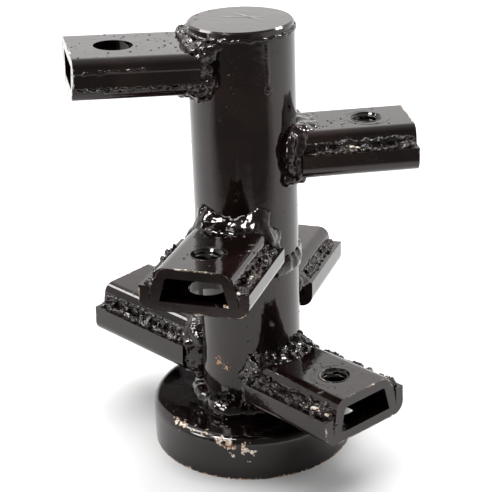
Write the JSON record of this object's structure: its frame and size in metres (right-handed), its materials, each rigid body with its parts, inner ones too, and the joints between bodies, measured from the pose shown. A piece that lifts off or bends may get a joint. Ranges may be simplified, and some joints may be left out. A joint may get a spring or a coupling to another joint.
{
  "type": "rotary tiller rotor hub",
  "caption": "Welded blade-holder hub of a walk-behind rotary tiller: a tube with radial blade sockets, a closed outer end and a cup round the drive end.",
  "frame": {"origin": "centre of the drive end, in the plane of the cup's rim", "axes": "+Z along the tube from the drive end to the closed end; socket 1 points along -X"},
  "size_m": [0.1552, 0.1616, 0.207],
  "materials": {
    "black_enamel": "gloss black enamel",
    "weld_enamel": "gloss black enamel over rough weld",
    "bare_steel": "oiled bare steel"
  },
  "bodies": {
    "root": {"upper_tube": "black_enamel", "lower_tube": "black_enamel", "tube_joint_weld": "weld_enamel", "end_cap": "black_enamel", "end_cap_weld": "weld_enamel", "drive_end_cup": "black_enamel", "cup_weld": "weld_enamel", "drive_bush": "bare_steel", "socket_1_outer_channel": "black_enamel", "socket_1_inner_channel": "black_enamel", "socket_1_seam_welds": "weld_enamel", "socket_1_root_weld": "weld_enamel", "socket_2_outer_channel": "black_enamel", "socket_2_inner_channel": "black_enamel", "socket_2_seam_welds": "weld_enamel", "socket_2_root_weld": "weld_enamel", "socket_3_outer_channel": "black_enamel", "socket_3_inner_channel": "black_enamel", "socket_3_seam_welds": "weld_enamel", "socket_3_root_weld": "weld_enamel", "socket_4_outer_channel": "black_enamel", "socket_4_inner_channel": "black_enamel", "socket_4_seam_welds": "weld_enamel", "socket_4_root_weld": "weld_enamel", "socket_5_outer_channel": "black_enamel", "socket_5_inner_channel": "black_enamel", "socket_5_seam_welds": "weld_enamel", "socket_5_root_weld": "weld_enamel", "socket_6_outer_channel": "black_enamel", "socket_6_inner_channel": "black_enamel", "socket_6_seam_welds": "weld_enamel", "socket_6_root_weld": "weld_enamel"}
  },
  "joints": []
}
